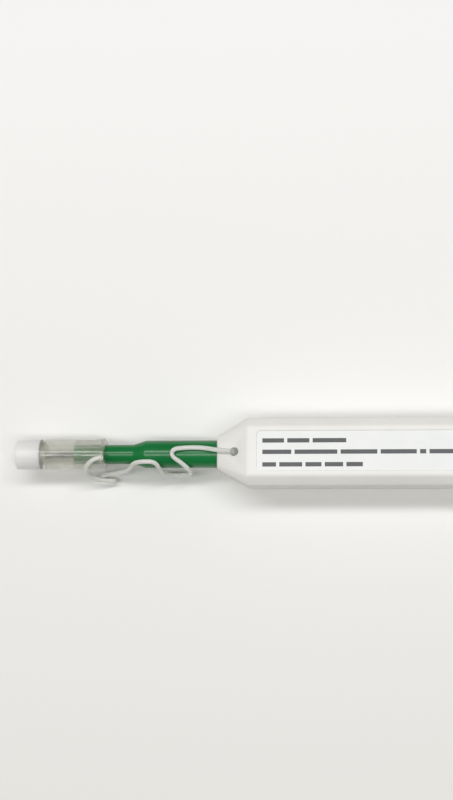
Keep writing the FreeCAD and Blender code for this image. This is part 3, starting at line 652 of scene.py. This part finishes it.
cap_eyelet = washer(
    "cap_eyelet", centre=(-31.15, -1.2, 4.9), outer=1.55, hole=0.9, thick=0.75, rounding=0.15
)
dress(cap_eyelet, "guide_cap_body", "clear_plastic", clear_pc, "guide_cap")
print("eyelet", len(cap_eyelet.data.polygons), "faces")

# %% [markdown]
# The end cap is a soft milky cup that tapers slightly, so that it leaves its mould. A step
# inside it lies just past the guide cap's plug.

# %% End cap
milky_cap = spun("milky_cap", [
    (-54.5, 0, 0), (-54.5, 3.93, 0.45), (-48, 4.05, 0.15), (-48, 3.25, 0.08),
    (-50.2, 3.25, 0.08), (-50.2, 2.5, 0.12), (-53.3, 2.5, 0.3), (-53.3, 0, 0),
])  # fmt: skip
dress(milky_cap, "end_cap_body", "frosted_plastic", milky_pe, "end_cap")
print("end cap", len(milky_cap.data.polygons), "faces")

# %% [markdown]
# The sleeve is a short steel tube that carries the cleaning tip. It is cut and deburred, so
# its edges have roundings of less than 0.1 mm.

# %% Sleeve
steel_sleeve = spun("steel_sleeve", [
    (-46.7, 1, 0.03), (-46.7, 1.25, 0.08), (-38, 1.25, 0), (-38, 1.5, 0.05),
    (-34.5, 1.5, 0.05), (-34.5, 1, 0),
], sides=64)  # fmt: skip
dress(steel_sleeve, "carriage", "steel", steel, "tip_sleeve")
print("sleeve", len(steel_sleeve.data.polygons), "faces")

# %% [markdown]
# ## Housing
# The housing is two flat-sided shells, so it keeps the shape of its solids: a copy with its
# loose triangles merged gets a wider rounding where its flats meet, which turns each bend
# into a soft band of light instead of a line. A Bevel modifier does that, and it works only
# where the faces meet at more than the given angle, so the flats stay flat.

# %% Rounded copies of the shells
EDGE_ROUNDING = 0.35
EDGE_ANGLE = math.radians(20)


def softened(node, name, radius):
    """A copy of a flat-sided solid with its edges rounded by so many millimetres."""
    form = bmesh.new()
    form.from_mesh(frame["nodes"][node].data)
    bmesh.ops.remove_doubles(form, verts=form.verts, dist=0.002 * MM)
    bmesh.ops.dissolve_limit(
        form, angle_limit=math.radians(1), verts=form.verts, edges=form.edges
    )
    made = finish_mesh(name, form)
    bevel = made.modifiers.new("edges", "BEVEL")
    bevel.width = radius * MM
    bevel.segments = 3
    bevel.limit_method = "ANGLE"
    bevel.angle_limit = EDGE_ANGLE
    bevel.harden_normals = True
    dress(made, "shell", "housing", white_abs, node)
    print(name, len(made.data.polygons), "faces")


softened("shell_upper", "housing_top", EDGE_ROUNDING)
softened("shell_lower", "housing_base", EDGE_ROUNDING)

# %% [markdown]
# ## Finishes on the solids that stay
# Solids whose shape is already right only get a finish, by the name of the slot that the
# CAD record gives them. The tether's lump is the one exception: it is clearer than the cord.

# %% Finishes on the other solids
FINISH_OF_SLOT = {
    "housing": white_abs, "label": film, "green_plastic": green_abs, "clear_plastic": clear_pc,
    "frosted_plastic": milky_pe, "cord_plastic": clear_rubber, "inner_plastic": acetal,
    "gear_plastic": acetal_gear, "steel": steel, "thread": thread,
}  # fmt: skip
SLOT_OF = {p["node"]: p["material_slot"] for p in frame["record"]["subparts"]}
for name, node in frame["nodes"].items():
    for place in node.material_slots:
        place.material = FINISH_OF_SLOT[SLOT_OF[name]]
for place in frame["nodes"]["tether_plug"].material_slots:
    place.material = clear_bead
for piece in (tether_rear, tether_front):
    piece.data.materials.append(clear_rubber)
print("finished", len(frame["nodes"]), "solids")

# %% [markdown]
# ## Print on the label
# The label carries a few lines of small dark print. Plain bars stand for its words: each
# word is one point with its length, and Geometry Nodes set one bar on every point, so the
# whole print is changed by two sizes. Placing each bar by hand would hide that rule.

# %% Places and lengths of the words, in millimetres
FIRST_WORD, WORD_GAP = 1.45, 0.85
ROWS = [
    (2.7, [5.7, 5.8, 8.8]),
    (-0.3, [7.6, 11.2, 9.6, 9.4, 1.6, 7.4, 5.2, 8.6, 6.4]),
    (-3.6, [3.6, 6.0, 4.2, 4.8, 4.3]),
]
form = bmesh.new()
lengths = []
for across, words in ROWS:
    along = FIRST_WORD
    for word in words:
        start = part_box("label")[0].x + (along + word / 2) * MM
        form.verts.new((start, across * MM, LABEL_TOP))
        lengths.append(word * MM)
        along += word + WORD_GAP
label_print = finish_mesh("label_print", form)
word_length = label_print.data.attributes.new("word_length", "FLOAT", "POINT")
word_length.data.foreach_set("value", lengths)
print("words", len(lengths))

# %% Tree that prints a bar on every word
tree = bpy.data.node_groups.new("print_bars", "GeometryNodeTree")
tree.interface.new_socket("Geometry", in_out="INPUT", socket_type="NodeSocketGeometry")
for label, size in (("Bar Height", 1.15 * MM), ("Ink Thickness", 0.01 * MM)):
    socket = tree.interface.new_socket(label, in_out="INPUT", socket_type="NodeSocketFloat")
    socket.default_value = size
tree.interface.new_socket("Geometry", in_out="OUTPUT", socket_type="NodeSocketGeometry")
given = add(tree, "NodeGroupInput")
length = add(tree, "GeometryNodeInputNamedAttribute", {"Name": "word_length"}, data_type="FLOAT")
size = add(
    tree, "ShaderNodeCombineXYZ",
    {"X": length.outputs["Attribute"], "Y": given.outputs["Bar Height"],
     "Z": given.outputs["Ink Thickness"]},
)  # fmt: skip
bar = add(tree, "GeometryNodeMeshCube", {"Size": (1, 1, 1)})
placed = add(
    tree, "GeometryNodeInstanceOnPoints",
    {"Points": given.outputs["Geometry"], "Instance": bar.outputs["Mesh"],
     "Scale": size.outputs[0]},
)  # fmt: skip
plain = add(tree, "GeometryNodeRealizeInstances", {"Geometry": placed.outputs[0]})
inked = add(tree, "GeometryNodeSetMaterial", {"Geometry": plain.outputs[0], "Material": ink})
add(tree, "NodeGroupOutput", {"Geometry": inked.outputs[0]})
print("tree", tree.name, len(tree.nodes), "nodes")

# %% The print as one plain mesh
grow = label_print.modifiers.new("print", "NODES")
grow.node_group = tree
bpy.context.view_layer.update()
graph = bpy.context.evaluated_depsgraph_get()
printed = bpy.data.meshes.new_from_object(label_print.evaluated_get(graph))
label_print.modifiers.clear()
label_print.data = printed
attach(label_print, "shell")
print("print", len(ROWS), "rows,", len(lengths), "bars,", len(printed.polygons), "faces")
